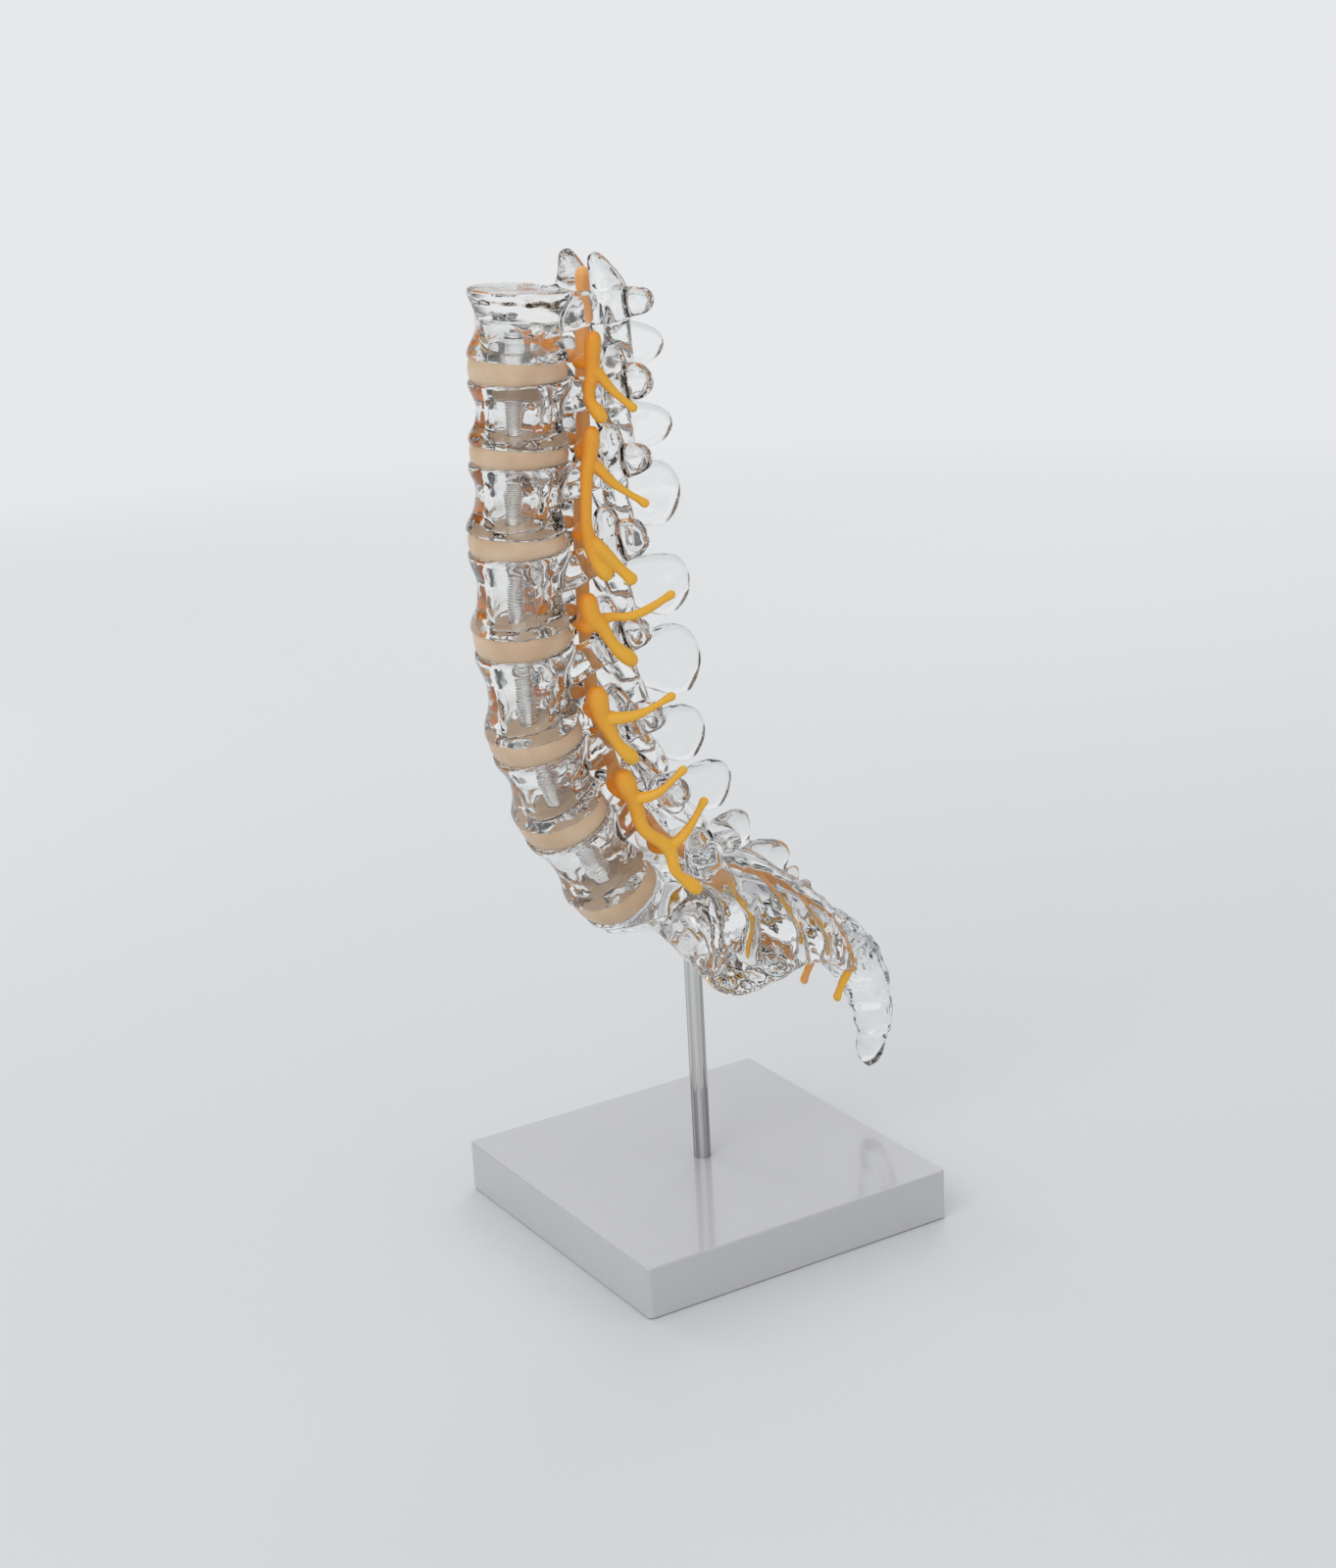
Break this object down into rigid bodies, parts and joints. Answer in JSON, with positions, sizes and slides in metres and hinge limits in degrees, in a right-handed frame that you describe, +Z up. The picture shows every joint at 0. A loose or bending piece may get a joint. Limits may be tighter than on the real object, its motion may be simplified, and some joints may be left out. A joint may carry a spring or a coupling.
{
  "type": "spine anatomy model",
  "caption": "Clear lumbar spine teaching model with sacrum, coloured discs and nerve roots, standing on a steel post in a flat square base.",
  "frame": {"origin": "centre of the base's flat underside", "axes": "+Z up along the support post; the front of the spine faces -Y and its left side faces +X"},
  "size_m": [0.1372, 0.1725, 0.3757],
  "materials": {
    "stand_base": "polished light grey",
    "bright_steel": "mirror polished",
    "rod_steel": "fine threaded",
    "clear_resin": "clear and glossy",
    "disc_plastic": "translucent beige satin",
    "nerve_rubber": "soft satin orange"
  },
  "bodies": {
    "root": {"base_plate": "stand_base", "core_rod": "rod_steel", "disc_l1_l2": "disc_plastic", "disc_l2_l3": "disc_plastic", "disc_l3_l4": "disc_plastic", "disc_l4_l5": "disc_plastic", "disc_l5_s1": "disc_plastic", "disc_t11_t12": "disc_plastic", "disc_t12_l1": "disc_plastic", "left_nerve_l2_l3": "nerve_rubber", "left_nerve_l3_l4": "nerve_rubber", "left_nerve_l4_s1": "nerve_rubber", "left_nerve_t11_t12": "nerve_rubber", "left_nerve_t12_l2": "nerve_rubber", "right_nerve_l2_l3": "nerve_rubber", "right_nerve_l3_l4": "nerve_rubber", "right_nerve_l4_s1": "nerve_rubber", "right_nerve_t11_t12": "nerve_rubber", "right_nerve_t12_l2": "nerve_rubber", "rod_nut": "rod_steel", "rod_washer": "rod_steel", "sacrum": "clear_resin", "spinal_cord": "nerve_rubber", "support_post": "bright_steel", "vertebra_l1": "clear_resin", "vertebra_l2": "clear_resin", "vertebra_l3": "clear_resin", "vertebra_l4": "clear_resin", "vertebra_l5": "clear_resin", "vertebra_t11": "clear_resin", "vertebra_t12": "clear_resin"}
  },
  "joints": []
}
